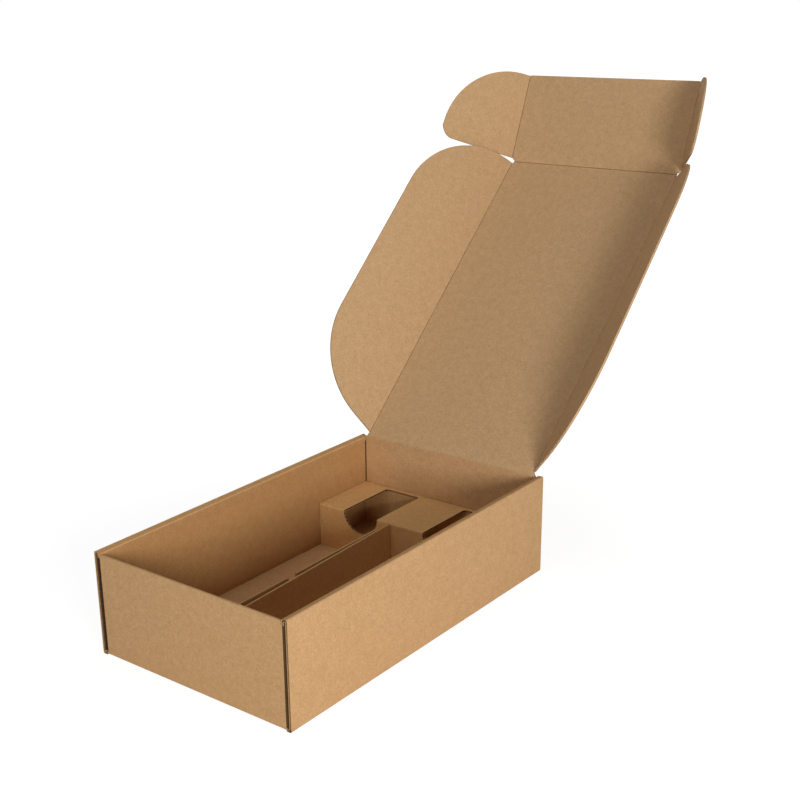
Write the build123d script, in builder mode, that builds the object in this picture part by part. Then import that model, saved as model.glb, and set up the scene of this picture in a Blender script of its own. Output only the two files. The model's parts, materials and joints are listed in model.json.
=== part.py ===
from build123d import *
import os

# Wine gift box: one sheet of brown corrugated board folded up, with a loose two-piece insert.
# It stands open: the lid leans back, its side flaps, tuck panel and ears are partly folded in.
# Frame: X to the right along the front wall, Y towards the hinge wall, Z up.
# The origin is the middle of the underside of the base. All sizes are millimetres.

# Outside of the folded box
box_width = 220.0
box_length = 372.0
box_height = 99.0

# Board and its folds
board = 2.0
ply_gap = 0.2
fold_inside = 0.7
crease_gap = 0.25

# End walls, dust flaps and side walls
front_wall_drop = 2.3
side_wall_overhang = 0.8
dust_flap_length = 84.0
tab_width = 42.0
tab_spacing = 196.0
tab_chamfer = 1.2
slot_clearance = 0.3

# Lid, side flaps, tuck panel and ears
closing_clearance = 0.2
lid_corner = 1.0
flap_bottom_clearance = 2.0
flap_end_relief = 3.0
flap_hinge_slant = 24.5
flap_hinge_radius = 94.0
flap_tuck_radius = 91.0
tuck_bottom_clearance = 0.5
tuck_wall_clearance = 0.4
tuck_root_corner = 5.0
tuck_tip_radius = 1.5
ear_reach = 85.8
ear_slant = 2.1
ear_end_relief = 1.5
ear_root_radius = 12.0
ear_tip_radius = 76.0

# How far each crease is folded in the open box, in degrees
lid_opening = 137.6
left_flap_fold = 58.6
right_flap_fold = 51.0
tuck_fold = 25.8
left_ear_fold = 52.2
right_ear_fold = 60.3

# Slotted platform: a sheet folded into an upside-down channel
platform_side_gap = 3.7
platform_depth = 78.0
platform_height = 47.5
platform_strip = 55.5
cradle_width = 42.0
cradle_rear_edge = 6.0
cradle_corner = 4.0
insert_clearance = 0.5
seat_clearance = 0.1

# Middle divider: a strip folded double, with the place across the box of each ply's ends
divider_left_front = -11.0
divider_left_rear = -16.0
divider_right_front = -2.0
divider_right_rear = -13.4
divider_front_gap = 3.0
divider_fold = 1.5
divider_notch_distance = 139.5
divider_notch_length = 12.0
divider_notch_depth = 5.0

# Places that follow from the sizes above; a ply's place is that of its middle layer
sides = (-1, 1)
half_width = box_width / 2
half_length = box_length / 2
base_z = board / 2
roll_z = box_height - board / 2
outer_ply_x = half_width - board / 2
dust_flap_x = outer_ply_x - board - ply_gap
inner_ply_x = dust_flap_x - board - ply_gap
inner_ply_bottom = board + ply_gap
end_wall_x = dust_flap_x - board / 2 - fold_inside
roll_edge_z = roll_z - board / 2 - fold_inside - ply_gap
dust_flap_top = roll_edge_z - ply_gap
bay_x = inner_ply_x - board / 2
bay_y = half_length - board
ear_crease_x = bay_x - closing_clearance - board / 2
flap_crease_x = ear_crease_x - board - closing_clearance
hinge_y = half_length - board / 2
hinge_z = box_height + board / 2
lid_length = hinge_y + bay_y - board / 2 - tuck_wall_clearance
flap_reach = hinge_z - board - flap_bottom_clearance
tuck_reach = hinge_z - board - tuck_bottom_clearance
ear_edge = tuck_reach - ear_end_relief - tuck_root_corner - ear_slant
insert_bottom = board + seat_clearance
platform_width = 2 * bay_x - insert_clearance - platform_side_gap
platform_offset = (insert_clearance - platform_side_gap) / 2
platform_rear_y = bay_y - insert_clearance
platform_front_y = platform_rear_y - platform_depth
platform_z = platform_height - board / 2
cradle_spacing = platform_strip + cradle_width
divider_front_y = divider_front_gap - bay_y
divider_rear_y = platform_front_y - insert_clearance


def folded_section(*corners, inside=fold_inside):
    """Section of board folded at each corner; the corners lie on its middle layer."""
    with BuildLine() as middle_layer:
        FilletPolyline(*corners, radius=inside + board / 2)
    trace(middle_layer.edges(), line_width=board)


def folded_plane(parent, x, y, turn, fold):
    """Plane of a panel hinged at x, y of its parent, turned in the sheet, then folded inwards.

    Its x axis is the crease, y leads away from the parent and z points into the closed box.
    """
    crease = parent.location * Location((x, y, 0), (0, 0, turn))
    return Plane(crease * Location((0, 0, 0), (fold, 0, 0)))


def side_wall_sections(inner_end):
    """Both side walls: from the base up the outside, over the dust flaps and down to inner_end."""
    for side in sides:
        folded_section(
            (side * end_wall_x, base_z),
            (side * outer_ply_x, base_z),
            (side * outer_ply_x, roll_z),
            (side * inner_ply_x, roll_z),
            (side * inner_ply_x, inner_end),
        )


def panel(plane, corners, radii):
    """Flat panel of board whose middle layer lies on the plane."""
    with BuildSketch(plane) as outline:
        with BuildLine():
            FilletPolyline(*corners, radius=radii, close=True)
        make_face()
    extrude(outline.sketch, amount=board / 2, both=True)


def crease_bead(plane, start, end):
    """Rounded fold line between two points of a panel's edge, which the next panel turns about."""
    with BuildLine(plane):
        crease = Line(start, end)
    with BuildSketch(Plane(origin=crease @ 0, z_dir=crease % 0)) as bead:
        Circle(board / 2)
    extrude(bead.sketch, amount=crease.length)


def crease_seat(plane, *square_sides):
    """Hollow along the root of a panel that turns about its parent's bead.

    On a square side, 1 inside the box and -1 outside it, the root is cut back to fold freely.
    """
    reach = board / 2 + crease_gap
    across = Plane(origin=plane.origin, x_dir=plane.y_dir, z_dir=plane.x_dir)
    with BuildSketch(across) as hollow:
        Circle(reach)
        with Locations(*[(0, side * board) for side in square_sides]):
            Rectangle(2 * reach, 2 * board)
    extrude(hollow.sketch, amount=box_length, both=True, mode=Mode.SUBTRACT)


def flap_corners(direction):
    """Outline of a lid side flap; the crease runs along x in the given direction."""
    flap_end = lid_length - flap_end_relief
    return [
        (direction * flap_end_relief, 0),
        (direction * (flap_end_relief + flap_hinge_slant), flap_reach),
        (direction * flap_end, flap_reach),
        (direction * flap_end, 0),
    ]


def ear_corners(direction):
    """Outline of an ear of the tuck panel, in the same way."""
    ear_end = tuck_reach - ear_end_relief
    return [
        (direction * tuck_root_corner, 0),
        (direction * (tuck_root_corner + ear_slant), ear_reach),
        (direction * ear_end, ear_reach),
        (direction * ear_end, 0),
    ]


def write_part(builder, name):
    """Label one finished piece and write it as a STEP file."""
    builder.part.label = name
    export_step(builder.part, f"parts/{name}.step")


# Planes of the moving panels, each from the one that carries it
rear_wall_plane = Plane(origin=(0, hinge_y, hinge_z), x_dir=(1, 0, 0), z_dir=(0, -1, 0))
lid_plane = folded_plane(rear_wall_plane, 0, 0, 0, 90 - lid_opening)
tuck_plane = folded_plane(lid_plane, 0, lid_length, 0, tuck_fold)
left_flap_plane = folded_plane(lid_plane, -flap_crease_x, 0, 90, left_flap_fold)
right_flap_plane = folded_plane(lid_plane, flap_crease_x, 0, -90, right_flap_fold)
left_ear_plane = folded_plane(tuck_plane, -ear_crease_x, 0, 90, left_ear_fold)
right_ear_plane = folded_plane(tuck_plane, ear_crease_x, 0, -90, right_ear_fold)

# Roundings of the flaps and ears, no larger than the panel leaves room for
flap_radii = [0, flap_hinge_radius, min(flap_tuck_radius, flap_reach - board), 0]
ear_tip_room = min(ear_reach, ear_edge - ear_root_radius) - 1
ear_radii = [0, ear_root_radius, min(ear_tip_radius, ear_tip_room), 0]

os.makedirs("parts", exist_ok=True)

with BuildPart() as tray:
    # Base with its front and rear walls; their shoulders are cut so that the rolls pass over
    with BuildSketch(Plane.YZ):
        folded_section(
            (-hinge_y, box_height - front_wall_drop),
            (-hinge_y, base_z),
            (hinge_y, base_z),
            (hinge_y, hinge_z),
        )
    extrude(amount=end_wall_x, both=True)
    with BuildSketch(Plane.XZ):
        with Locations(*[(side * end_wall_x, dust_flap_top) for side in sides]):
            Rectangle(
                2 * (end_wall_x - flap_crease_x),
                box_height,
                align=(Align.CENTER, Align.MIN),
            )
    extrude(amount=half_length, both=True, mode=Mode.SUBTRACT)

    # The rear wall ends in the crease that carries the lid
    crease_bead(
        rear_wall_plane,
        (lid_corner - flap_crease_x, 0),
        (flap_crease_x - lid_corner, 0),
    )

    # Dust flaps, folded from both ends of each end wall into the side walls
    dust_flap_end = half_length - dust_flap_length
    with BuildSketch(Plane.XY.offset(board + fold_inside)):
        for end in sides:
            folded_section(
                (-dust_flap_x, end * dust_flap_end),
                (-dust_flap_x, end * hinge_y),
                (dust_flap_x, end * hinge_y),
                (dust_flap_x, end * dust_flap_end),
            )
    extrude(amount=dust_flap_top - board - fold_inside)

    # The inner plies stand between the end walls, and the rolls above them run on to the corners
    with BuildSketch(Plane.XZ):
        side_wall_sections(inner_ply_bottom)
    extrude(amount=bay_y - fold_inside, both=True)
    with BuildSketch(Plane.XZ):
        side_wall_sections(roll_edge_z)
    extrude(amount=half_length + side_wall_overhang, both=True)

    # Slots in the base, and the tabs of the inner plies that lock into them
    tab_places = [end * tab_spacing / 2 for end in sides]
    with BuildSketch(Plane.XY):
        with Locations(*[(side * inner_ply_x, y) for side in sides for y in tab_places]):
            Rectangle(board + 2 * slot_clearance, tab_width + 2 * slot_clearance)
    extrude(amount=board, mode=Mode.SUBTRACT)
    for side in sides:
        with BuildSketch(Plane.YZ.offset(side * inner_ply_x)):
            with Locations(*[(y, inner_ply_bottom) for y in tab_places]):
                Rectangle(tab_width, board, align=(Align.CENTER, Align.MAX))
            chamfer(vertices().group_by(Axis.Y)[0], length=tab_chamfer)
        extrude(amount=board / 2, both=True)

write_part(tray, "tray")

with BuildPart() as lid_panel:
    panel(
        lid_plane,
        [
            (lid_corner - flap_crease_x, 0),
            (-flap_crease_x, lid_corner),
            (-flap_crease_x, lid_length),
            (flap_crease_x, lid_length),
            (flap_crease_x, lid_corner),
            (flap_crease_x - lid_corner, 0),
        ],
        0,
    )
    crease_seat(lid_plane, -1, 1)
    for side in sides:
        crease_bead(
            lid_plane,
            (side * flap_crease_x, flap_end_relief),
            (side * flap_crease_x, lid_length - flap_end_relief),
        )
    crease_bead(
        lid_plane,
        (lid_corner - flap_crease_x, lid_length),
        (flap_crease_x - lid_corner, lid_length),
    )

write_part(lid_panel, "lid_panel")

with BuildPart() as lid_flap_left:
    panel(left_flap_plane, flap_corners(1), flap_radii)
    crease_seat(left_flap_plane, 1)

write_part(lid_flap_left, "lid_flap_left")

with BuildPart() as lid_flap_right:
    panel(right_flap_plane, flap_corners(-1), flap_radii)
    crease_seat(right_flap_plane, 1)

write_part(lid_flap_right, "lid_flap_right")

with BuildPart() as tuck_panel:
    panel(
        tuck_plane,
        [
            (-flap_crease_x, 0),
            (-ear_crease_x, tuck_root_corner),
            (-ear_crease_x, tuck_reach),
            (ear_crease_x, tuck_reach),
            (ear_crease_x, tuck_root_corner),
            (flap_crease_x, 0),
        ],
        [0, 0, tuck_tip_radius, tuck_tip_radius, 0, 0],
    )
    crease_seat(tuck_plane, 1)
    for side in sides:
        crease_bead(
            tuck_plane,
            (side * ear_crease_x, tuck_root_corner),
            (side * ear_crease_x, tuck_reach - ear_end_relief),
        )

write_part(tuck_panel, "tuck_panel")

with BuildPart() as tuck_ear_left:
    panel(left_ear_plane, ear_corners(1), ear_radii)
    crease_seat(left_ear_plane, 1)

write_part(tuck_ear_left, "tuck_ear_left")

with BuildPart() as tuck_ear_right:
    panel(right_ear_plane, ear_corners(-1), ear_radii)
    crease_seat(right_ear_plane, 1)

write_part(tuck_ear_right, "tuck_ear_right")

with BuildPart() as slotted_platform:
    with BuildSketch(Plane.YZ.offset(platform_offset)):
        folded_section(
            (platform_rear_y - board / 2, insert_bottom),
            (platform_rear_y - board / 2, platform_z),
            (platform_front_y + board / 2, platform_z),
            (platform_front_y + board / 2, insert_bottom),
        )
    extrude(amount=platform_width / 2, both=True)

    # Two slots, each running from a half-round cradle in the front panel almost to the rear
    slot_end_y = platform_rear_y - cradle_rear_edge
    with BuildSketch(Plane.XY.offset(platform_height)):
        with Locations((platform_offset, slot_end_y)):
            with GridLocations(cradle_spacing, 0, 2, 1):
                Rectangle(
                    cradle_width,
                    platform_depth,
                    align=(Align.CENTER, Align.MAX),
                )
        fillet(vertices().group_by(Axis.Y)[-1], radius=cradle_corner)
    extrude(amount=-board, mode=Mode.SUBTRACT)
    with BuildSketch(Plane.XZ.offset(-platform_front_y - 2 * board)):
        with Locations((platform_offset, platform_height)):
            with GridLocations(cradle_spacing, 0, 2, 1):
                Circle(cradle_width / 2)
    extrude(amount=2 * board, mode=Mode.SUBTRACT)

write_part(slotted_platform, "slotted_platform")

with BuildPart() as middle_divider:
    with BuildSketch(Plane.XY.offset(insert_bottom)):
        folded_section(
            (divider_left_rear, divider_rear_y),
            (divider_left_front, divider_front_y + board / 2),
            (divider_right_front, divider_front_y + board / 2),
            (divider_right_rear, divider_rear_y),
            inside=divider_fold,
        )
    extrude(amount=platform_height - insert_bottom)

    # Notch in the top edge of the left ply
    notch_y = divider_front_y + divider_notch_distance
    with BuildSketch(Plane.YZ.offset(divider_left_rear - 2 * board)):
        with Locations((notch_y, platform_height)):
            Rectangle(divider_notch_length, 2 * divider_notch_depth)
    extrude(until=Until.NEXT, mode=Mode.SUBTRACT)

write_part(middle_divider, "middle_divider")
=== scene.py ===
import json
import math

import bmesh
import bpy
from mathutils import Matrix, Vector
from mathutils.geometry import tessellate_polygon


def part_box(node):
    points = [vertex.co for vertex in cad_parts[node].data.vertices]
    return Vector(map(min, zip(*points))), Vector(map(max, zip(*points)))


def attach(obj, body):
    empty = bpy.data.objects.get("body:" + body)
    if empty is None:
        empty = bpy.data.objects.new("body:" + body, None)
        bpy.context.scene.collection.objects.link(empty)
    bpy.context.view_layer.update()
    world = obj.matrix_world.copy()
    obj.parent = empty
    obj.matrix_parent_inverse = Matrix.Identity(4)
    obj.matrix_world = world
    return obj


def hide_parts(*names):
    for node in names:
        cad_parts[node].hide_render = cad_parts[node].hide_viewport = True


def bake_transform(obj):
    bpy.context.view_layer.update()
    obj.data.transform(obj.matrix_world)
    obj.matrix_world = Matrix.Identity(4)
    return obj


# Looks of an open wine gift box folded from brown corrugated board.
# Every panel is made as the real board is: two kraft liners with a fluted sheet between them.
# All lengths are metres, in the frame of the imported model.

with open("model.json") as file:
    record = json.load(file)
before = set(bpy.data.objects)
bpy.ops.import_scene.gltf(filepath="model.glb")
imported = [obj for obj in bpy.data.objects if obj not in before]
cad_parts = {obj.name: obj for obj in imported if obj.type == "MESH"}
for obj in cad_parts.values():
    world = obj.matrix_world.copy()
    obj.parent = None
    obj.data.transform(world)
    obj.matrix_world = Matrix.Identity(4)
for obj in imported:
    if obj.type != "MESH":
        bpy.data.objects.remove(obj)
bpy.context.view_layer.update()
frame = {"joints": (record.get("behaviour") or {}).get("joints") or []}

MM = 0.001

# Board: two liners and the fluted sheet between them
board = 2.0 * MM
liner = 0.24 * MM
fluting = 0.2 * MM
flute_pitch = 3.4 * MM
flute_steps = 10
flute_height = board / 2 - liner - fluting / 2
fluting_inset = 0.15 * MM
closed_edge_inset = 0.1 * MM

# Folds and creases; a crushed fold is rounded tighter than the board's own bend
fold_inside = 0.7 * MM
fold_radius = fold_inside + board / 2
fluting_fold_radius = 1.0 * MM
crushed_outside = 1.5 * MM
crushed_inside = 0.5 * MM
fold_steps = 8
arc_steps = 24
score = 1.6 * MM
lid_score = 2.4 * MM
lid_crease_flare = 2.0 * MM
groove_depth = 0.9 * MM
groove_start = 0.2
lip_height = 0.25 * MM
lip_start = 0.6
groove_shade_steps = 2
sharp_angle = math.radians(38)

# Tray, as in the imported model
half_width = 110.0 * MM
half_length = 186.0 * MM
box_height = 99.0 * MM
ply_gap = 0.2 * MM
front_wall_drop = 2.3 * MM
side_wall_overhang = 0.8 * MM
dust_flap_length = 84.0 * MM
tab_width = 42.0 * MM
tab_spacing = 196.0 * MM
slot_clearance = 0.3 * MM
closing_clearance = 0.2 * MM

# Tray, as only the photograph shows it: sloping rolls, soft corners, and dark sheets in the corner
# gaps that are painted shade
roll_drop = {-1: 1.9 * MM, 1: 0.3 * MM}
inner_fold_depth = 3.0 * MM
corner_outside = 3.6 * MM
corner_gap = 0.1 * MM
gap_shade_inset = 0.05 * MM
gap_shade_recess = 0.2 * MM
hidden_flutes = 1.3 * MM
shown_flutes = 24.0 * MM
crushed_end_recess = 0.5 * MM

# Lid flaps, tuck and ears, with their outlines fitted to the photograph
flap_bottom_clearance = 2.4 * MM
flap_hinge_relief = 3.0 * MM
flap_tuck_relief = {-1: 2.3 * MM, 1: 3.6 * MM}
flap_hinge_slant = 27.0 * MM
flap_hinge_radius = 95.8 * MM
flap_tuck_slant = -0.5 * MM
flap_tuck_radius = 95.0 * MM
tuck_bottom_clearance = 0.2 * MM
tuck_root_corner = 2.9 * MM
ear_reach = 88.0 * MM
ear_slant = 3.6 * MM
ear_end_relief = 0.5 * MM
ear_root_relief = {-1: 4.3 * MM, 1: 4.6 * MM}
ear_root_radius = 15.0 * MM
ear_tip_radius = 79.0 * MM

# Warp of the right flap: extra fold in degrees, for its whole length, along it, and along it squared
flap_lean = 0.8
flap_twist = 4.3
flap_bow = 1.4
warp_middle = 0.45
warp_root = 22 * MM
warp_rows = (4 * MM, 12 * MM, 24 * MM, 45 * MM, 70 * MM)
warp_columns = 12

# Insert
platform_strip = 55.5 * MM
cradle_width = 42.0 * MM
cradle_rear_edge = 6.0 * MM
cradle_corner = 4.0 * MM
divider_left_front = -11.0 * MM
divider_left_rear = -16.0 * MM
divider_right_front = -2.0 * MM
divider_right_rear = -13.4 * MM
divider_fold_radius = 3.0 * MM
divider_fold_reach = 4.0 * MM
divider_notch_distance = 139.5 * MM
divider_notch_length = 12.0 * MM
divider_notch_depth = 5.0 * MM

# Camera: place, view direction in degrees, and the photograph's focal length and centre in pixels
camera_place = Vector((0.7243, -0.8633, 0.5672))
camera_azimuth = 40.31
camera_elevation = 20.99
camera_roll = -1.71
photo_size = 800
focal_length = 1343.5
view_centre = (323, 475)

# Materials of a face: kraft liner, its cut edge, the fluted sheet whose near-black colour is painted
# shade (also put as painted shade on corner bends and in corner gaps), and a darker, warmer kraft
# that is painted shade inside the tray
LINER = 0
CUT_EDGE = 1
FLUTES_AND_SHADE = 2
PAINTED_SHADE = 3

sides = (-1, 1)
mid_base = board / 2
mid_roll = box_height - board / 2
outer_ply_x = half_width - board / 2
dust_flap_x = outer_ply_x - board - ply_gap
inner_ply_x = dust_flap_x - board - ply_gap
inner_ply_bottom = board + ply_gap
end_wall_x = dust_flap_x - board / 2 - fold_inside
end_wall_y = half_length - board / 2
fold_top = board + fold_inside
roll_edge_z = mid_roll - board / 2 - fold_inside - ply_gap
dust_flap_top = roll_edge_z - ply_gap
corner_x = dust_flap_x + board / 2 - corner_outside - corner_gap
corner_y = half_length - corner_outside - corner_gap
side_wall_end = half_length + side_wall_overhang
inner_fold_z = roll_edge_z - inner_fold_depth
bay_x = inner_ply_x - board / 2
ear_crease_x = bay_x - closing_clearance - board / 2
flap_crease_x = ear_crease_x - board - closing_clearance
hinge_z = box_height + board / 2
flap_reach = hinge_z - board - flap_bottom_clearance
tuck_reach = hinge_z - board - tuck_bottom_clearance


def joint_named(name):
    """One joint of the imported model."""
    return next(joint for joint in frame["joints"] if joint["name"] == name)


def fold_at_rest(name):
    """How far a crease is folded in the open box: its range starts where its panel is flat."""
    return -math.radians(joint_named(name)["range_deg"][0])


def place_of(x_axis, y_axis, origin):
    """Matrix of a sheet whose local x and y run along two axes."""
    x_axis = Vector(x_axis)
    y_axis = Vector(y_axis)
    rotation = Matrix((x_axis, y_axis, x_axis.cross(y_axis))).transposed()
    return Matrix.Translation(Vector(origin)) @ rotation.to_4x4()


def folded_place(parent, x, y, turn, fold):
    """Place of a panel hinged at x, y of its parent, turned in the sheet, then folded inwards."""
    crease = Matrix.Translation((x, y, 0)) @ Matrix.Rotation(math.radians(turn), 4, "Z")
    return parent @ crease @ Matrix.Rotation(fold, 4, "X")


class Sheet:
    """The faces of one piece of board, with the flute coordinates of each face's corners."""

    def __init__(self, name, body):
        self.name = name
        self.body = body
        self.points = []
        self.faces = []

    def add(self, place, points, faces):
        """Faces as (corner numbers, kind, flute coordinates of the corners)."""
        first = len(self.points)
        self.points += [place @ Vector(point) for point in points]
        for corners, kind, coordinates in faces:
            self.faces.append(([first + corner for corner in corners], kind, coordinates))

    def finish(self, materials):
        """The piece as a Blender object, with its materials and board coordinates."""
        mesh = bpy.data.meshes.new(self.name)
        mesh.from_pydata(self.points, [], [face[0] for face in self.faces])
        layer = mesh.uv_layers.new(name="board")
        for polygon, (_, kind, coordinates) in zip(mesh.polygons, self.faces):
            polygon.material_index = kind
            for loop, coordinate in zip(polygon.loop_indices, coordinates):
                layer.data[loop].uv = (coordinate[0] / MM, coordinate[1] / MM)
        for material in materials:
            mesh.materials.append(material)
        soften(mesh)
        piece = bpy.data.objects.new(self.name, mesh)
        bpy.context.scene.collection.objects.link(piece)
        return piece


def soften(mesh):
    """Face normals outwards, smooth round the folds and flutes and sharp at the edges."""
    work = bmesh.new()
    work.from_mesh(mesh)
    bmesh.ops.recalc_face_normals(work, faces=work.faces)
    for face in work.faces:
        face.smooth = True
    for edge in work.edges:
        edge.smooth = edge.is_manifold and edge.calc_face_angle(math.pi) < sharp_angle
    work.to_mesh(mesh)
    work.free()


def arc_corner(before, corner, after, radius, steps=arc_steps):
    """Points of the rounding at one corner of an outline."""
    corner = Vector(corner)
    to_before = (Vector(before) - corner).normalized()
    to_after = (Vector(after) - corner).normalized()
    half_angle = to_before.angle(to_after) / 2
    centre = corner + (to_before + to_after).normalized() * (radius / math.sin(half_angle))
    first = corner + to_before * (radius / math.tan(half_angle)) - centre
    turn = first.angle_signed(corner + to_after * (radius / math.tan(half_angle)) - centre)
    points = []
    for step in range(steps + 1):
        rotated = first.copy()
        rotated.rotate(Matrix.Rotation(-turn * step / steps, 2))
        points.append(centre + rotated)
    return points


def rounded_outline(corners, radii):
    """Closed outline with its corners rounded; a radius of 0 leaves a corner sharp."""
    points = []
    for index, (corner, radius) in enumerate(zip(corners, radii)):
        if radius:
            after = corners[(index + 1) % len(corners)]
            points += arc_corner(corners[index - 1], corner, after, radius)
        else:
            points.append(Vector(corner))
    return points


def cut_below(points, level):
    """The part of a convex outline above a level of y."""
    kept = []
    for index, point in enumerate(points):
        before = points[index - 1]
        if (point.y >= level) != (before.y >= level):
            share = (level - before.y) / (point.y - before.y)
            kept.append(before.lerp(point, share))
        if point.y >= level:
            kept.append(point)
    return kept


def signed_area(points):
    """Twice the area of an outline, positive when it runs anticlockwise."""
    following = points[1:] + points[:1]
    return sum(a.x * b.y - b.x * a.y for a, b in zip(points, following))


def sheet_layer(sheet, place, loops, low, high, along_x):
    """A flat layer of the board between two heights: an outline, then any holes."""
    points = []
    faces = []
    flat = [point for loop in loops for point in loop]

    def flute(point, extra=0.0):
        """Flute coordinates: along the flutes, then across them."""
        return (point.x, point.y + extra) if along_x else (point.y, point.x + extra)

    for height in (low, high):
        points += [(point.x, point.y, height) for point in flat]
    count = len(flat)
    for triangle in tessellate_polygon([[point.to_3d() for point in loop] for loop in loops]):
        corners = [flat[index] for index in triangle]
        coordinates = [flute(corner) for corner in corners]
        faces.append((list(triangle), LINER, coordinates))
        faces.append(([index + count for index in triangle], LINER, coordinates))
    first = 0
    for loop in loops:
        size = len(loop)
        for index in range(size):
            here = first + index
            there = first + (index + 1) % size
            a = flute(flat[here])
            b = flute(flat[there])
            c = flute(flat[there], high - low)
            d = flute(flat[here], high - low)
            faces.append(([here, there, there + count, here + count], CUT_EDGE, [a, b, c, d]))
        first += size
    sheet.add(place, points, faces)


def closed_edges(sheet, place, loops, along_x, crushed):
    """Closed cut edges: all of them on a crushed panel, else those that run along the flutes."""
    depth = board / 2 - liner
    surface = LINER if crushed else CUT_EDGE
    steepest = 0.45
    for loop in loops:
        for a, b in zip(loop, loop[1:] + loop[:1]):
            edge = b - a
            along, across = (edge.x, edge.y) if along_x else (edge.y, edge.x)
            if abs(across) > steepest * abs(along) and not crushed:
                continue
            inwards = Vector((-edge.y, edge.x)).normalized() * closed_edge_inset
            corners = [a + inwards, b + inwards]
            points = [(at.x, at.y, height) for height in (-depth, depth) for at in corners]
            coordinates = [(0, 0), (edge.length, 0), (edge.length, 2 * depth), (0, 2 * depth)]
            sheet.add(place, points, [([0, 1, 3, 2], surface, coordinates)])


def crossings(loops, level, along_x):
    """Sorted places where a line along the flutes crosses the outlines."""
    found = []
    for loop in loops:
        for a, b in zip(loop, loop[1:] + loop[:1]):
            a_across, b_across = (a.y, b.y) if along_x else (a.x, b.x)
            a_along, b_along = (a.x, b.x) if along_x else (a.y, b.y)
            if (a_across > level) != (b_across > level):
                share = (level - a_across) / (b_across - a_across)
                found.append(a_along + (b_along - a_along) * share)
    return sorted(found)


def flute_wave(across):
    """Height of the fluted sheet's middle at a distance across the flutes."""
    return flute_height * math.sin(2 * math.pi * across / flute_pitch)


def fluted_layer(sheet, place, loops, along_x):
    """The fluted sheet of a flat panel, cut to the panel's outline."""
    across = [point.y if along_x else point.x for loop in loops for point in loop]
    inset = fluting_inset
    step = flute_pitch / flute_steps
    off_corners = 1e-7
    first = math.ceil((min(across) + inset) / step)
    last = math.floor((max(across) - inset) / step)
    rows = []
    for number in range(first, last + 1):
        level = number * step
        along = crossings(loops, level + off_corners, along_x)
        rows.append((level, [(a + inset, b - inset) for a, b in zip(along[::2], along[1::2])]))
    for (level, spans), (next_level, next_spans) in zip(rows, rows[1:]):
        if len(spans) != len(next_spans):
            continue
        for span, next_span in zip(spans, next_spans):
            fluted_slice(sheet, place, level, span, next_level, next_span, along_x)


def fluted_slice(sheet, place, level, span, next_level, next_span, along_x):
    """One slice of the fluted sheet, between two lines along the flutes."""
    points = []
    coordinates = []
    for across, (start, end) in ((level, span), (next_level, next_span)):
        for along in (start, end):
            for side in sides:
                height = flute_wave(across) + side * fluting / 2
                points.append((along, across, height) if along_x else (across, along, height))
                coordinates.append((along, across))
    quads = ((1, 3, 7, 5), (0, 4, 6, 2), (0, 1, 5, 4), (2, 6, 7, 3))
    sheet.add(place, points, [(quad, FLUTES_AND_SHADE, [coordinates[i] for i in quad]) for quad in quads])


def panel(sheet, place, loops, along_x=True, crushed=False):
    """Flat panel of board: both liners and the fluted sheet, in the middle of the place's xy."""
    loops = [[Vector(point) for point in loop] for loop in loops]
    for index, loop in enumerate(loops):
        if (signed_area(loop) > 0) != (index == 0):
            loop.reverse()
    for side in sides:
        low, high = sorted((side * board / 2, side * (board / 2 - liner)))
        sheet_layer(sheet, place, loops, low, high, along_x)
    closed_edges(sheet, place, loops, along_x, crushed)
    fluted_layer(sheet, place, loops, along_x)


def fold_path(corners, reach=0.0, outside=crushed_outside, inside=crushed_inside):
    """A folding path moved sideways by a reach, its corners rounded: point, normal and length.

    corners lie on the middle layer; a bend is rounded by outside or inside as the side demands.
    """
    corners = [Vector(corner) for corner in corners]
    normals = []
    for a, b in zip(corners, corners[1:]):
        direction = (b - a).normalized()
        normals.append(Vector((-direction.y, direction.x)))
    moved = [corners[0] + normals[0] * reach]
    radii = []
    for corner, before, after in zip(corners[1:], normals, normals[1:]):
        moved.append(corner + (before + after) * (reach / (1 + before.dot(after))))
        hollow = before.cross(after) * reach > 0
        radii.append(inside if hollow else outside)
    moved.append(corners[-1] + normals[-1] * reach)
    path = [moved[0]]
    for a, b, c, radius in zip(moved, moved[1:], moved[2:], radii):
        path += arc_corner(a, b, c, radius, fold_steps)
    path.append(moved[-1])
    samples = []
    length = 0.0
    for index, point in enumerate(path):
        ahead = path[min(index + 1, len(path) - 1)] - point
        behind = point - path[max(index - 1, 0)]
        direction = (ahead.normalized() + behind.normalized()).normalized()
        length += behind.length
        samples.append((point, Vector((-direction.y, direction.x)), length))
    return samples


def swept_liners(
    sheet, place, corners, start, end, along_path, outside=crushed_outside, surface=LINER
):
    """Both liners of a fold, swept from start to end along the place's z."""
    inside = outside - crushed_outside + crushed_inside
    for side in sides:
        outer = fold_path(corners, side * board / 2, outside, inside)
        inner = fold_path(corners, side * (board / 2 - liner), outside - liner, inside + liner)
        points = []
        for (at, _, _), (under, _, _) in zip(outer, inner):
            points += [(at.x, at.y, start), (at.x, at.y, end)]
            points += [(under.x, under.y, start), (under.x, under.y, end)]
        faces = []
        for index in range(len(outer) - 1):
            here = index * 4
            there = here + 4
            lengths = (outer[index][2], outer[index + 1][2])
            pairs = [(lengths[0], start), (lengths[0], end), (lengths[1], end), (lengths[1], start)]
            coordinates = pairs if along_path else [(b, a) for a, b in pairs]
            faces.append(([here, here + 1, there + 1, there], surface, coordinates))
            faces.append(([here + 2, here + 3, there + 3, there + 2], surface, coordinates))
            faces.append(([here, there, there + 2, here + 2], CUT_EDGE, coordinates))
            faces.append(([here + 1, there + 1, there + 3, here + 3], CUT_EDGE, coordinates))
        for here in (0, len(points) - 4):
            edge = [here, here + 1, here + 3, here + 2]
            faces.append((edge, CUT_EDGE, [(start, 0), (end, 0), (end, liner), (start, liner)]))
        sheet.add(place, points, faces)


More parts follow.
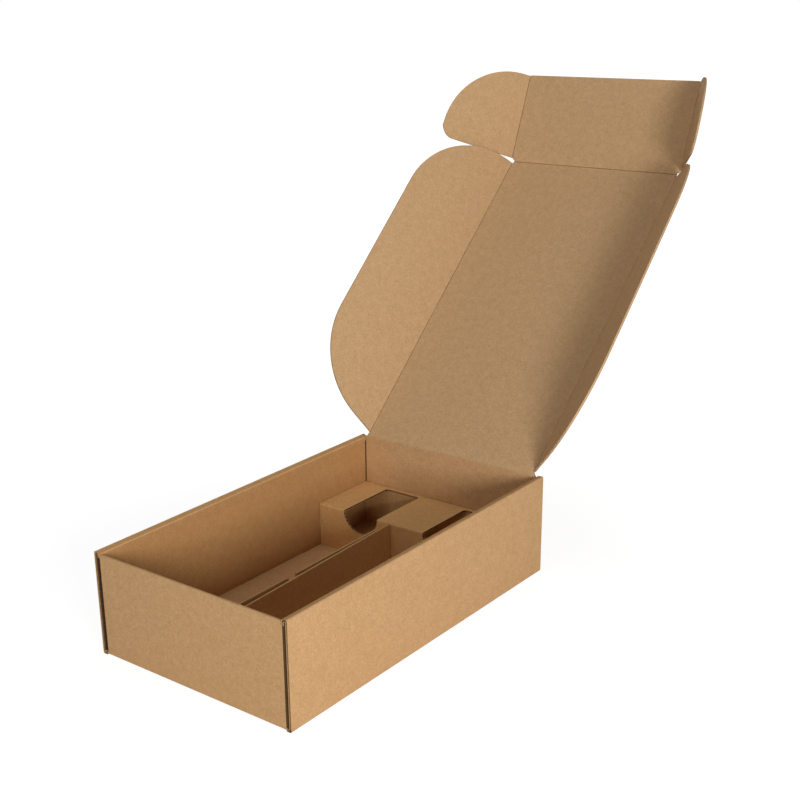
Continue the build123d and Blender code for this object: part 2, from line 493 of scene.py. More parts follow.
def swept_fluting(sheet, place, corners, start, end):
    """The fluted sheet of a fold whose flutes run along the path, between start and end of z."""
    samples = fold_path(corners, 0.0, fluting_fold_radius, fluting_fold_radius)
    step = flute_pitch / flute_steps
    numbers = range(math.ceil(start / step), math.floor(end / step) + 1)
    levels = [number * step for number in numbers]
    for side in sides:
        points = []
        for level in levels:
            for point, normal, _ in samples:
                at = point + normal * (flute_wave(level) + side * fluting / 2)
                points.append((at.x, at.y, level))
        width = len(samples)
        faces = []
        for row in range(len(levels) - 1):
            for column in range(width - 1):
                a = row * width + column
                square = [a, a + 1, a + width + 1, a + width]
                coordinates = [
                    (samples[corner % width][2], levels[corner // width]) for corner in square
                ]
                faces.append((square, FLUTES_AND_SHADE, coordinates))
        sheet.add(place, points, faces)


YZ = place_of((0, 1, 0), (0, 0, 1), (0, 0, 0))
XZ = place_of((1, 0, 0), (0, 0, 1), (0, 0, 0))
XY = Matrix.Identity(4)


def rectangle(x_low, y_low, x_high, y_high):
    """Corners of a rectangle, anticlockwise."""
    return [(x_low, y_low), (x_high, y_low), (x_high, y_high), (x_low, y_high)]


def base_panel(sheet):
    """Base, with a slot for each tab, and its bends up into the end walls."""
    slot_inner_x = inner_ply_x - board / 2 - slot_clearance
    slot_outer_x = inner_ply_x + board / 2 + slot_clearance
    flat_x = outer_ply_x - fold_radius
    flat_y = end_wall_y - fold_radius
    edge_y = side_wall_end
    panel(sheet, level_place(mid_base), [rectangle(-slot_inner_x, -flat_y, slot_inner_x, flat_y)])
    for side in sides:
        outline = [(slot_inner_x, -flat_y), (end_wall_x, -flat_y), (end_wall_x, -edge_y)]
        outline += [(flat_x, -edge_y), (flat_x, edge_y), (end_wall_x, edge_y)]
        outline += [(end_wall_x, flat_y), (slot_inner_x, flat_y)]
        for centre in (tab_spacing / 2, -tab_spacing / 2):
            far, near = centre + tab_width / 2, centre - tab_width / 2
            outline += [(slot_inner_x, far), (slot_outer_x, far)]
            outline += [(slot_outer_x, near), (slot_inner_x, near)]
        panel(sheet, level_place(mid_base), [[(side * x, y) for x, y in outline]])
    for end in sides:
        bend = [
            (end * end_wall_y, fold_top),
            (end * end_wall_y, mid_base),
            (end * flat_y, mid_base),
        ]
        swept_liners(sheet, YZ, bend, -end_wall_x, end_wall_x, False)


def level_place(height):
    """Place of a level sheet at a height."""
    return Matrix.Translation((0, 0, height))


def end_wall(sheet, end, top):
    """Front or rear wall with shoulders cut under the rolls, and its two dust flaps."""
    place = place_of((1, 0, 0), (0, 0, 1), (0, end * end_wall_y, 0))
    top_x = ear_crease_x - closing_clearance
    outline = [
        (-corner_x, fold_top),
        (corner_x, fold_top),
        (corner_x, dust_flap_top),
        (bay_x, dust_flap_top),
        (top_x, top),
        (-top_x, top),
        (-bay_x, dust_flap_top),
        (-corner_x, dust_flap_top),
    ]
    panel(sheet, place, [outline], True, end < 0)
    flap_end = half_length - dust_flap_length
    for side in sides:
        bend = [
            (side * corner_x, end * end_wall_y),
            (side * dust_flap_x, end * end_wall_y),
            (side * dust_flap_x, end * corner_y),
        ]
        # Painted shade: the corner bend is drawn in the near-black flute colour, where it lies in
        # shadow
        swept_liners(sheet, XY, bend, fold_top, dust_flap_top, True, corner_outside, FLUTES_AND_SHADE)
        flap_place = place_of((0, 1, 0), (0, 0, 1), (side * dust_flap_x, 0, 0))
        low, high = sorted((end * flap_end, end * corner_y))
        panel(sheet, flap_place, [rectangle(low, fold_top, high, dust_flap_top)], True)


def upright_face(sheet, points, kind, coordinates):
    """One face from its two lower corners and then the two above them."""
    order = [0, 1, 3, 2]
    sheet.add(XY, points, [(order, kind, [coordinates[corner] for corner in order])])


def side_wall_corner(sheet, side, end):
    """A dark sheet in the flute colour inside the narrow gap at a corner, which is painted shade,
    and the crushed cut end of the outer ply.
    """
    # Painted shade: a dark sheet in the flute colour just inside the outer ply, where the corner gap
    # is in shadow
    heights = (fold_top, roll_edge_z)
    gap_x = side * (half_width - board - gap_shade_inset)
    depths = (side_wall_end - gap_shade_recess, corner_y)
    corners = [(y, z) for z in heights for y in depths]
    points = [(gap_x, end * y, z) for y, z in corners]
    upright_face(sheet, points, FLUTES_AND_SHADE, [(z, y) for y, z in corners])

    across = (half_width - board + liner, half_width - liner)
    corners = [(x, z) for z in heights for x in across]
    points = [(side * x, end * (side_wall_end - crushed_end_recess), z) for x, z in corners]
    upright_face(sheet, points, CUT_EDGE, corners)


def inner_ply(sheet, side):
    """Inner ply of a side wall, with the tabs that stand in the base's slots."""
    ply_end = end_wall_y - board / 2 - 2 * fold_inside
    outline = [(-ply_end, inner_fold_z), (-ply_end, inner_ply_bottom)]
    for end in sides:
        for tab_side in sides:
            y = end * tab_spacing / 2 + tab_side * tab_width / 2
            corners = [(y, inner_ply_bottom), (y, inner_ply_bottom - board)]
            outline += corners if tab_side < 0 else corners[::-1]
    outline += [(ply_end, inner_ply_bottom), (ply_end, inner_fold_z)]
    place = place_of((0, 1, 0), (0, 0, 1), (side * inner_ply_x, 0, 0))
    panel(sheet, place, [outline], False)


def side_wall(sheet, side):
    """Double side wall: outer ply, roll over the dust flaps, and inner ply."""
    section = [
        (side * (outer_ply_x - fold_radius), mid_base),
        (side * outer_ply_x, mid_base),
        (side * outer_ply_x, mid_roll),
        (side * inner_ply_x, mid_roll - roll_drop[side]),
        (side * inner_ply_x, inner_fold_z),
    ]
    edge_y = side_wall_end
    swept_liners(sheet, XZ, section, -edge_y, edge_y, True)
    swept_fluting(sheet, XZ, section, -edge_y + hidden_flutes, -edge_y + shown_flutes)
    swept_fluting(sheet, XZ, section, edge_y - shown_flutes, edge_y - hidden_flutes)
    for end in sides:
        side_wall_corner(sheet, side, end)
    inner_ply(sheet, side)


def paint_shade_on_inner_plies(sheet):
    """Paint shade on the inner plies and the tops of the rolls: a darker, warmer kraft that stands
    in for shade and warm bounce light inside the tray.
    """
    slack = 0.1 * MM
    narrowest_roll = 1.0 * MM
    for index, (corners, kind, coordinates) in enumerate(sheet.faces):
        points = [sheet.points[corner] for corner in corners]
        across = sorted(abs(point.x) for point in points)
        on_one_side = len({point.x > 0 for point in points}) == 1
        on_inner_ply = across[-1] < bay_x + slack
        wide = across[-1] - across[0] > narrowest_roll
        on_roll = wide and min(point.z for point in points) > inner_fold_z
        # Painted shade: these inner faces get the darker, warmer kraft; the narrow roll roundings
        # keep the lighter kraft
        if kind == LINER and on_one_side and across[0] > bay_x - slack:
            if on_inner_ply or on_roll:
                sheet.faces[index] = (corners, PAINTED_SHADE, coordinates)


def make_tray():
    """The folded tray: base, end walls with dust flaps, and double side walls."""
    sheet = Sheet("tray_board", "tray")
    base_panel(sheet)
    end_wall(sheet, -1, box_height - front_wall_drop)
    end_wall(sheet, 1, hinge_z - lid_score)
    for side in sides:
        side_wall(sheet, side)
    paint_shade_on_inner_plies(sheet)
    return sheet


def make_lid(place, lid_length):
    """Lid panel, stopping at the creases all round it."""
    sheet = Sheet("lid_board", "lid")
    edge_x = flap_crease_x - score
    outline = [
        (-edge_x, lid_score),
        (edge_x, lid_score),
        (edge_x, lid_length - score),
        (-edge_x, lid_length - score),
    ]
    panel(sheet, place, [outline])
    return sheet


def make_flap(name, body, place, side, lid_length):
    """Side flap of the lid; its crease runs along the place's x, backwards on the right."""
    sheet = Sheet(name, body)
    near = flap_hinge_relief
    far = lid_length - flap_tuck_relief[side]
    corners = [
        (near, 0),
        (near + flap_hinge_slant, flap_reach),
        (far - flap_tuck_slant, flap_reach),
        (far, 0),
    ]
    outline = rounded_outline(corners, [0, flap_hinge_radius, flap_tuck_radius, 0])
    outline = [Vector((-side * point.x, point.y)) for point in cut_below(outline, score)]
    panel(sheet, place, [outline], False, True)
    return sheet


def warp(piece, place, lid_length):
    """Twist a flap about its crease, more towards the tuck end; its root stays as it is."""
    mesh = piece.data
    work = bmesh.new()
    work.from_mesh(mesh)
    cuts = [((0, reach, 0), (0, 1, 0)) for reach in warp_rows]
    for step in range(1, warp_columns):
        cuts.append(((-lid_length * step / warp_columns, 0, 0), (1, 0, 0)))
    for at, normal in cuts:
        parts = work.verts[:] + work.edges[:] + work.faces[:]
        across = place.to_3x3() @ Vector(normal)
        bmesh.ops.bisect_plane(work, geom=parts, plane_co=place @ Vector(at), plane_no=across)
    to_local = place.inverted()
    for vertex in work.verts:
        at = to_local @ vertex.co
        share = min(max((at.y - score) / warp_root, 0), 1)
        smooth = share * share * (3 - 2 * share)
        along = -at.x / lid_length - warp_middle
        twist = math.radians(flap_twist * along + flap_bow * along * along + flap_lean)
        vertex.co = place @ (Matrix.Rotation(twist * smooth, 4, "X") @ at)
    work.to_mesh(mesh)
    work.free()
    soften(mesh)


def make_tuck(place):
    """Tuck panel, a little wider than the lid."""
    sheet = Sheet("tuck_board", "tuck")
    edge_x = ear_crease_x - score
    corners = [
        (score - flap_crease_x, score),
        (flap_crease_x - score, score),
        (edge_x, tuck_root_corner),
        (edge_x, tuck_reach),
        (-edge_x, tuck_reach),
        (-edge_x, tuck_root_corner),
    ]
    panel(sheet, place, [corners])
    return sheet


def make_ear(name, body, place, side):
    """Ear of the tuck panel, with a wide rounding towards the tuck's free edge."""
    sheet = Sheet(name, body)
    far = tuck_reach - ear_end_relief
    corners = [
        (ear_root_relief[side], 0),
        (ear_root_relief[side] + ear_slant, ear_reach),
        (far, ear_reach),
        (far, 0),
    ]
    outline = rounded_outline(corners, [0, ear_root_radius, ear_tip_radius, 0])
    outline = [Vector((-side * point.x, point.y)) for point in cut_below(outline, score)]
    panel(sheet, place, [outline], False, True)
    return sheet


def curve(*controls):
    """Points of a smooth curve from the first control to the last, drawn towards the one between."""
    first, middle, last = controls
    shares = [step / fold_steps for step in range(fold_steps + 1)]
    return [first.lerp(middle, share).lerp(middle.lerp(last, share), share) for share in shares]


def crease_profile(fold, face, reach):
    """Section of one liner across a crease, from the parent to the folded panel.

    face is 1 on the inside of the box and -1 on its outside. The liner is stretched round the
    crease on one side, and on the other it is pressed into a groove.
    """
    turn = Matrix.Rotation(fold, 2)
    skin = board / 2
    first = Vector((-reach, face * skin))
    last = turn @ Vector((reach, face * skin))
    corner = Vector((-skin * face * math.tan(fold / 2), face * skin))
    if fold * face < 0:
        return curve(first, corner, last)
    inwards = Matrix.Rotation(fold / 2, 2) @ Vector((0, face))
    near = first.lerp(corner, groove_start)
    beyond = last.lerp(corner, groove_start)
    groove = corner - inwards * groove_depth
    near_lip = near.lerp(corner, lip_start) + Vector((0, face * lip_height))
    beyond_lip = beyond.lerp(corner, lip_start) + turn @ Vector((0, face * lip_height))
    down = curve(near, near_lip, groove)
    up = curve(groove, beyond_lip, beyond)
    return [first] + down + up[1:] + [last]


def make_crease(
    name, parent_place, crease, start, end, fold, bodies, materials, reach=score, flare=0.0
):
    """The two liners that bend at a crease between a panel and the one that folds from it.

    The parent's end of the crease is wider than the other by a flare at either side.
    """
    x, y, turn = crease
    place = folded_place(parent_place, x, y, turn, 0)
    groove_bottom = fold_steps + 0.5
    for face, label in ((1, "inside"), (-1, "outside")):
        profile = crease_profile(fold, face, reach)
        grooved = len(profile) > fold_steps + 1
        sheet = Sheet(f"{name}_{label}", bodies)
        points = []
        lengths = []
        length = 0.0
        for index, point in enumerate(profile):
            ahead = profile[min(index + 1, len(profile) - 1)]
            behind = profile[max(index - 1, 0)]
            direction = (ahead - behind).normalized()
            inwards = Vector((direction.y, -direction.x)) * (face * liner)
            length += (point - behind).length
            lengths.append(length)
            wider = flare * (1 - index / (len(profile) - 1))
            for at in (point, point + inwards):
                points += [(start - wider, at.x, at.y), (end + wider, at.x, at.y)]
        faces = []
        for index in range(len(profile) - 1):
            here = index * 4
            there = here + 4
            a, b = lengths[index], lengths[index + 1]
            coordinates = [(start, a), (end, a), (end, b), (start, b)]
            # Painted shade: the bottom of the groove gets the darker cut-edge colour
            groove_shaded = grooved and abs(index - groove_bottom) < groove_shade_steps
            surface = CUT_EDGE if groove_shaded else LINER
            faces.append(([here, here + 1, there + 1, there], surface, coordinates))
            faces.append(([here + 2, here + 3, there + 3, there + 2], LINER, coordinates))
            faces.append(([here, there, there + 2, here + 2], CUT_EDGE, coordinates))
            faces.append(([here + 1, there + 1, there + 3, here + 3], CUT_EDGE, coordinates))
        sheet.add(place, points, faces)
        piece = sheet.finish(materials)
        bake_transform(piece)


def make_platform():
    """Slotted platform: top with two slots, front panel with two round cut-outs, rear panel."""
    sheet = Sheet("platform_board", "tray")
    low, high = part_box("slotted_platform")
    centre_x = (low.x + high.x) / 2
    half = (high.x - low.x) / 2
    front_y = low.y + board / 2
    rear_y = high.y - board / 2
    top_z = high.z - board / 2
    panel_top = top_z - fold_radius
    centres = [side * (platform_strip + cradle_width) / 2 for side in sides]
    radius = cradle_width / 2

    # Front panel, with the round cut-outs in its upper edge
    drop = high.z - panel_top
    half_angle = math.acos(drop / radius)
    front = [(-half, panel_top), (-half, low.z), (half, low.z), (half, panel_top)]
    for centre in reversed(centres):
        for step in range(arc_steps + 1):
            angle = half_angle * (1 - 2 * step / arc_steps)
            front.append((centre + radius * math.sin(angle), high.z - radius * math.cos(angle)))
    panel(sheet, place_of((1, 0, 0), (0, 0, 1), (centre_x, front_y, 0)), [front])
    rear = rectangle(-half, low.z, half, panel_top)
    panel(sheet, place_of((1, 0, 0), (0, 0, 1), (centre_x, rear_y, 0)), [rear])

    # Top, with the slots open towards the front
    top_front = front_y + fold_radius
    top_rear = rear_y - fold_radius
    slot_end = high.y - cradle_rear_edge
    corners = [(-half, top_front)]
    radii = [0]
    for centre in centres:
        corners += [
            (centre - radius, top_front),
            (centre - radius, slot_end),
            (centre + radius, slot_end),
            (centre + radius, top_front),
        ]
        radii += [0, cradle_corner, cradle_corner, 0]
    corners += [(half, top_front), (half, top_rear), (-half, top_rear)]
    radii += [0, 0, 0]
    top_place = Matrix.Translation((centre_x, 0, top_z))
    panel(sheet, top_place, [rounded_outline(corners, radii)])

    # Bends along the front, between the slots, and along the rear
    folds = place_of((0, 1, 0), (0, 0, 1), (centre_x, 0, 0))
    front_bend = [(front_y, panel_top), (front_y, top_z), (top_front, top_z)]
    edges = [-half]
    for centre in centres:
        edges += [centre - radius, centre + radius]
    edges.append(half)
    for start, end in zip(edges[::2], edges[1::2]):
        swept_liners(sheet, folds, front_bend, start, end, False)
    rear_bend = [(rear_y, panel_top), (rear_y, top_z), (top_rear, top_z)]
    swept_liners(sheet, folds, rear_bend, -half, half, False)
    return sheet


def make_divider():
    """Strip folded double across the front, with a notch in the top of its left ply."""
    sheet = Sheet("divider_board", "tray")
    low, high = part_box("middle_divider")
    front_y = low.y + board / 2
    notch_y = low.y + divider_notch_distance
    corners = [
        (divider_left_rear, high.y),
        (divider_left_front, front_y),
        (divider_right_front, front_y),
        (divider_right_rear, high.y),
    ]
    corners = [Vector(corner) for corner in corners]
    near = [b + (a - b).normalized() * divider_fold_reach for a, b in (corners[:2], corners[:1:-1])]
    fold = [near[0], corners[1], corners[2], near[1]]
    swept_liners(sheet, XY, fold, low.z, high.z, False, divider_fold_radius)
    for rear, bend, notched in ((corners[0], near[0], True), (corners[3], near[1], False)):
        start = rear.to_3d()
        along = bend.to_3d() - start
        place = place_of(along.normalized(), (0, 0, 1), start)
        outline = [(0, low.z), (along.length, low.z), (along.length, high.z)]
        if notched:
            notch = start.y - notch_y
            for x in (notch + divider_notch_length / 2, notch - divider_notch_length / 2):
                levels = (high.z, high.z - divider_notch_depth)
                ordered = levels if x > notch else levels[::-1]
                outline += [(x, level) for level in ordered]
        outline.append((0, high.z))
        panel(sheet, place, [outline], False, True)
    return sheet


def node(tree, kind, place, **settings):
    """A shader node at a place in the editor, with its settings."""
    made = tree.nodes.new(kind)
    made.location = place
    for key, value in settings.items():
        setattr(made, key, value)
    return made


def noise(tree, source, detail, place, roughness=0.55):
    """Noise read at some coordinates, whose unit is the size of its blots."""
    made = node(tree, "ShaderNodeTexNoise", place)
    made.inputs["Scale"].default_value = 1.0
    made.inputs["Detail"].default_value = detail
    made.inputs["Roughness"].default_value = roughness
    tree.links.new(source, made.inputs["Vector"])
    return made.outputs["Fac"]


def ramp(tree, source, stops, place):
    """Colour ramp from (position, grey or colour) stops."""
    made = node(tree, "ShaderNodeValToRGB", place)
    elements = made.color_ramp.elements
    while len(elements) < len(stops):
        elements.new(0.5)
    for element, (position, value) in zip(elements, stops):
        element.position = position
        element.color = (value, value, value, 1) if isinstance(value, float) else (*value, 1)
    tree.links.new(source, made.inputs["Fac"])
    return made.outputs["Color"]


def blended(tree, mode, first, second, share, place):
    """Two colours blended; each may be a socket or a colour."""
    made = node(tree, "ShaderNodeMix", place, data_type="RGBA", blend_type=mode)
    for name, value in (("A", first), ("B", second)):
        socket = next(s for s in made.inputs if s.name == name and s.type == "RGBA")
        if isinstance(value, tuple):
            socket.default_value = (*value, 1)
        else:
            tree.links.new(value, socket)
    factor = made.inputs["Factor"]
    if isinstance(share, float):
        factor.default_value = share
    else:
        tree.links.new(share, factor)
    return next(s for s in made.outputs if s.type == "RGBA")


def new_material(name, roughness):
    """A material with a principled shader, and its tree, shader and board coordinates."""
    material = bpy.data.materials.new(name)
    material.use_nodes = True
    tree = material.node_tree
    shader = tree.nodes["Principled BSDF"]
    shader.inputs["Roughness"].default_value = roughness
    shader.inputs["Specular IOR Level"].default_value = 0.25
    return material, tree, shader


def scaled(tree, source, scale, place):
    """Coordinates stretched by a scale in each direction."""
    made = node(tree, "ShaderNodeMapping", place)
    made.inputs["Scale"].default_value = scale
    tree.links.new(source, made.inputs["Vector"])
    return made.outputs["Vector"]


def kraft_material(name, base, warm):
    """Kraft liner: mottled pulp, fine fibres, a few specks, and the faint lines of the flutes."""
    material, tree, shader = new_material(name, 0.86)
    board_map = node(tree, "ShaderNodeUVMap", (-1800, 200), uv_map="board").outputs["UV"]
    space = node(tree, "ShaderNodeTexCoord", (-1800, -200)).outputs["Object"]

    clouds = scaled(tree, space, (150, 150, 150), (-1600, 500))
    cloud = noise(tree, clouds, 5.0, (-1400, 500))
    drift = ramp(tree, cloud, [(0.36, 0.0), (0.64, 1.0)], (-1200, 500))
    colour = blended(tree, "MIX", base, warm, drift, (-900, 400))
    grains = scaled(tree, space, (520, 520, 520), (-1600, 200))
    pulp = noise(tree, grains, 4.0, (-1400, 200), roughness=0.75)
    shade = ramp(tree, pulp, [(0.3, 0.80), (0.7, 1.17)], (-1200, 200))
    colour = blended(tree, "MULTIPLY", colour, shade, 0.8, (-700, 300))
    strands = scaled(tree, board_map, (0.5, 3.2, 1.0), (-1600, -50))
    fibre = noise(tree, strands, 3.0, (-1400, -50))
    strand = ramp(tree, fibre, [(0.34, 0.93), (0.66, 1.06)], (-1200, -50))
    colour = blended(tree, "MULTIPLY", colour, strand, 0.7, (-500, 250))

    spots = node(tree, "ShaderNodeTexVoronoi", (-1400, -350))
    spots.inputs["Scale"].default_value = 170.0
    tree.links.new(space, spots.inputs["Vector"])
    near = ramp(tree, spots.outputs["Distance"], [(0.06, 1.0), (0.12, 0.0)], (-1200, -350))
    chosen = ramp(tree, spots.outputs["Color"], [(0.86, 0.0), (0.9, 1.0)], (-1200, -550))
    speck = blended(tree, "MULTIPLY", near, chosen, 1.0, (-900, -400))
    speck_brown = (0.30, 0.17, 0.08)
    colour = blended(tree, "MIX", colour, speck_brown, speck, (-300, 200))
    tree.links.new(colour, shader.inputs["Base Color"])

    wave = node(tree, "ShaderNodeTexWave", (-1400, -800), bands_direction="Y")
    wave.inputs["Scale"].default_value = math.pi * MM / flute_pitch / 10
    tree.links.new(board_map, wave.inputs["Vector"])
    relief = blended(tree, "MIX", wave.outputs["Color"], pulp, 0.55, (-900, -800))
    bump = node(tree, "ShaderNodeBump", (-300, -500))
    bump.inputs["Strength"].default_value = 0.35
    bump.inputs["Distance"].default_value = 0.12 * MM
    tree.links.new(relief, bump.inputs["Height"])
    tree.links.new(bump.outputs["Normal"], shader.inputs["Normal"])
    return material


def edge_material(name, light, dark, scale):
    """Torn fibres of a cut edge, or of the coarse fluted sheet whose dark colour is painted shade.
    """
    material, tree, shader = new_material(name, 0.95)
    space = node(tree, "ShaderNodeTexCoord", (-1200, 0)).outputs["Object"]
    fibres = scaled(tree, space, (scale, scale, scale), (-1000, 0))
    torn = noise(tree, fibres, 4.0, (-800, 0), roughness=0.7)
    colour = ramp(tree, torn, [(0.3, dark), (0.7, light)], (-500, 0))
    tree.links.new(colour, shader.inputs["Base Color"])
    bump = node(tree, "ShaderNodeBump", (-300, -300))
    bump.inputs["Strength"].default_value = 0.5
    bump.inputs["Distance"].default_value = 0.1 * MM
    tree.links.new(torn, bump.inputs["Height"])
    tree.links.new(bump.outputs["Normal"], shader.inputs["Normal"])
    return material


def area_light(name, place, target, size, energy):
    """A soft rectangular light that faces a target."""
    light = bpy.data.lights.new(name, "AREA")
    light.shape = "RECTANGLE"
    light.size, light.size_y = size
    light.energy = energy
    lamp = bpy.data.objects.new(name, light)
    lamp.location = place
    lamp.rotation_euler = (Vector(target) - Vector(place)).to_track_quat("-Z", "Y").to_euler()
    bpy.context.scene.collection.objects.link(lamp)


def make_world():
    """Soft grey surroundings that the camera sees as white."""
    world = bpy.data.worlds.new("studio")
    bpy.context.scene.world = world
    world.use_nodes = True
    tree = world.node_tree
    background = tree.nodes["Background"]
    rays = node(tree, "ShaderNodeLightPath", (-600, 200))
    seen = node(tree, "ShaderNodeMath", (-400, 200), operation="MAXIMUM")
    tree.links.new(rays.outputs["Is Camera Ray"], seen.inputs[0])
    tree.links.new(rays.outputs["Is Glossy Ray"], seen.inputs[1])
    colour = blended(tree, "MIX", (0.06, 0.06, 0.06), (1.0, 1.0, 1.0), seen.outputs[0], (-200, 0))
    tree.links.new(colour, background.inputs["Color"])


def make_floor():
    """Pale floor that is white to the camera but keeps the box's soft shadow."""
    reach = 6.0
    height = -0.3 * MM
    mesh = bpy.data.meshes.new("floor")
    corners = [(x, y, height) for x, y in rectangle(-reach, -reach, reach, reach)]
    mesh.from_pydata(corners, [], [(0, 1, 2, 3)])
    floor = bpy.data.objects.new("floor", mesh)
    bpy.context.scene.collection.objects.link(floor)
    material = bpy.data.materials.new("floor")
    material.use_nodes = True
    tree = material.node_tree
    tree.nodes.remove(tree.nodes["Principled BSDF"])
    output = tree.nodes["Material Output"]
    paper = node(tree, "ShaderNodeBsdfDiffuse", (-400, 0))
    paper.inputs["Color"].default_value = (0.82, 0.82, 0.82, 1)
    faint = node(tree, "ShaderNodeBsdfDiffuse", (-400, -200))
    faint.inputs["Color"].default_value = (0.22, 0.22, 0.22, 1)
    space = node(tree, "ShaderNodeTexCoord", (-1200, -400)).outputs["Object"]
    distance = node(tree, "ShaderNodeVectorMath", (-1000, -400), operation="LENGTH")
    tree.links.new(space, distance.inputs[0])
    lift = node(tree, "ShaderNodeMapRange", (-700, -400))
    for name, value in (("From Min", 0.3), ("From Max", 0.75), ("To Min", 0.90), ("To Max", 1.05)):
        lift.inputs[name].default_value = value
    tree.links.new(distance.outputs["Value"], lift.inputs["Value"])
    glow = node(tree, "ShaderNodeEmission", (-400, -400))
    tree.links.new(lift.outputs["Result"], glow.inputs["Strength"])
    lifted = node(tree, "ShaderNodeAddShader", (-200, -300))
    tree.links.new(faint.outputs[0], lifted.inputs[0])
    tree.links.new(glow.outputs[0], lifted.inputs[1])
    rays = node(tree, "ShaderNodeLightPath", (-400, 300))
    choice = node(tree, "ShaderNodeMixShader", (0, 0))
    tree.links.new(rays.outputs["Is Camera Ray"], choice.inputs[0])
    tree.links.new(paper.outputs[0], choice.inputs[1])
    tree.links.new(lifted.outputs[0], choice.inputs[2])
    tree.links.new(choice.outputs[0], output.inputs["Surface"])
    mesh.materials.append(material)


def make_camera():
    """Camera at the photograph's place and angle."""
    camera = bpy.data.cameras.new("camera")
    camera.sensor_width = 36.0
    camera.lens = camera.sensor_width * focal_length / photo_size
    camera.shift_x = (photo_size / 2 - view_centre[0]) / photo_size
    camera.shift_y = (view_centre[1] - photo_size / 2) / photo_size
    camera.clip_start = 0.05
    viewer = bpy.data.objects.new("camera", camera)
    azimuth = math.radians(camera_azimuth)
    elevation = math.radians(camera_elevation)
    level = Vector((-math.sin(azimuth), math.cos(azimuth), 0))
    forward = level * math.cos(elevation) - Vector((0, 0, math.sin(elevation)))
    upright = forward.to_track_quat("-Z", "Y").to_matrix().to_4x4()
    roll = Matrix.Rotation(math.radians(camera_roll), 4, "Z")
    viewer.matrix_world = Matrix.Translation(camera_place) @ upright @ roll
    bpy.context.scene.collection.objects.link(viewer)
    bpy.context.scene.camera = viewer


kraft = kraft_material("kraft_liner", (0.575, 0.338, 0.155), (0.615, 0.368, 0.175))
lid_kraft = kraft_material("lid_kraft", (0.555, 0.348, 0.174), (0.595, 0.378, 0.194))
# Painted shade: a darker, warmer copy of the kraft for the inner plies and roll tops, standing in
# for shade and bounce light inside the tray
shaded_kraft = kraft_material("shaded_kraft", (0.49, 0.258, 0.096), (0.53, 0.286, 0.110))
# Painted light: the insert's kraft is brighter than the tray's, standing in for more light falling
# on the platform
lit_insert_kraft = kraft_material("lit_insert_kraft", (0.68, 0.395, 0.155), (0.72, 0.425, 0.175))
cut_edge = edge_material("cut_edge", (0.36, 0.21, 0.10), (0.20, 0.11, 0.05), 900.0)
# Painted shade: the fluted sheet is near black, for the shade in the flute hollows
flutes_and_shade = edge_material("flutes_and_shade", (0.10, 0.055, 0.024), (0.055, 0.03, 0.012), 500.0)
tray_materials = (kraft, cut_edge, flutes_and_shade, shaded_kraft)
board_materials = (lid_kraft, cut_edge, flutes_and_shade)
insert_materials = (lit_insert_kraft, cut_edge, flutes_and_shade)

# Places of the moving panels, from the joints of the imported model
hinge = Vector(joint_named("lid_hinge")["pos_m"])
wall_place = place_of((1, 0, 0), (0, 0, 1), hinge)
lid_fold = math.radians(joint_named("lid_hinge")["range_deg"][1] - 90)
lid_place = folded_place(wall_place, 0, 0, 0, lid_fold)
lid_length = (Vector(joint_named("tuck_hinge")["pos_m"]) - hinge).length
tuck_fold = fold_at_rest("tuck_hinge")
tuck_place = folded_place(lid_place, 0, lid_length, 0, tuck_fold)

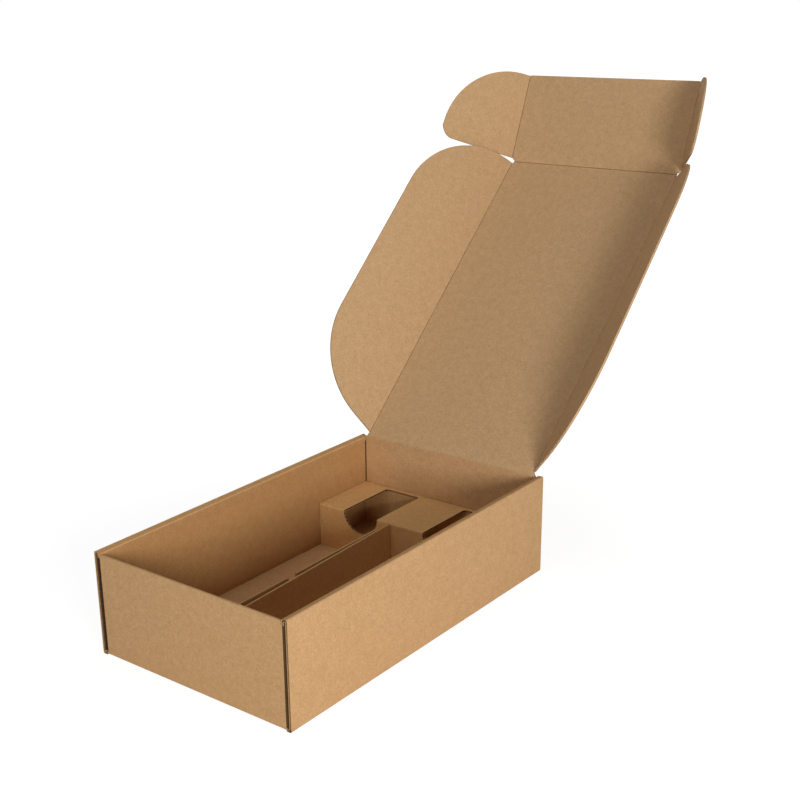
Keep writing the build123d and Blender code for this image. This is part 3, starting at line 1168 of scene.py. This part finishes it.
tray = make_tray().finish(tray_materials)
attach(tray, "tray")
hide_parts("tray")
lid = make_lid(lid_place, lid_length).finish(board_materials)
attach(lid, "lid")
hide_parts("lid_panel")
tuck = make_tuck(tuck_place).finish(board_materials)
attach(tuck, "tuck")
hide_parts("tuck_panel")
make_crease(
    "lid_crease",
    wall_place,
    (0, 0, 0),
    -flap_crease_x,
    flap_crease_x,
    lid_fold,
    ("tray", "lid"),
    board_materials,
    lid_score,
    lid_crease_flare,
)
make_crease(
    "tuck_crease",
    lid_place,
    (0, lid_length, 0),
    score - flap_crease_x,
    flap_crease_x - score,
    tuck_fold,
    ("lid", "tuck"),
    board_materials,
)
for side, word in ((-1, "left"), (1, "right")):
    turn = -90 * side
    flap_fold = fold_at_rest(f"{word}_flap_hinge")
    flap_place = folded_place(lid_place, side * flap_crease_x, 0, turn, flap_fold)
    flap = make_flap(f"{word}_flap_board", f"lid_flap_{word}", flap_place, side, lid_length)
    piece = flap.finish(board_materials)
    if side > 0:
        warp(piece, flap_place, lid_length)
    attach(piece, f"lid_flap_{word}")
    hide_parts(f"lid_flap_{word}")
    flap_ends = sorted((-side * flap_hinge_relief, -side * (lid_length - flap_tuck_relief[side])))
    make_crease(
        f"{word}_flap_crease",
        lid_place,
        (side * flap_crease_x, 0, turn),
        flap_ends[0],
        flap_ends[1],
        flap_fold,
        ("lid", f"lid_flap_{word}"),
        board_materials,
    )
    ear_fold = fold_at_rest(f"{word}_ear_hinge")
    ear_place = folded_place(tuck_place, side * ear_crease_x, 0, turn, ear_fold)
    ear = make_ear(f"{word}_ear_board", f"tuck_ear_{word}", ear_place, side)
    piece = ear.finish(board_materials)
    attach(piece, f"tuck_ear_{word}")
    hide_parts(f"tuck_ear_{word}")
    ear_ends = sorted((-side * ear_root_relief[side], -side * (tuck_reach - ear_end_relief)))
    make_crease(
        f"{word}_ear_crease",
        tuck_place,
        (side * ear_crease_x, 0, turn),
        ear_ends[0],
        ear_ends[1],
        ear_fold,
        ("tuck", f"tuck_ear_{word}"),
        board_materials,
    )
platform = make_platform().finish(insert_materials)
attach(platform, "tray")
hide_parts("slotted_platform")
divider = make_divider().finish(insert_materials)
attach(divider, "tray")
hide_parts("middle_divider")

make_world()
make_floor()
make_camera()
middle_of_box = (0.0, 0.1, 0.15)
area_light("key", (1.59, -1.06, 0.52), middle_of_box, (0.5, 0.5), 23)
area_light("side", (2.1, -0.1, 0.45), middle_of_box, (0.8, 0.8), 6)
area_light("front", (0.3, -2.2, 0.6), middle_of_box, (1.2, 0.8), 8.8)
area_light("top", (0.1, -0.1, 2.3), (0.0, 0.05, 0.1), (1.5, 1.5), 10.2)
area_light("back", (-1.3, 2.0, 1.2), middle_of_box, (1.5, 1.5), 11)
bpy.context.scene.view_settings.view_transform = "Standard"
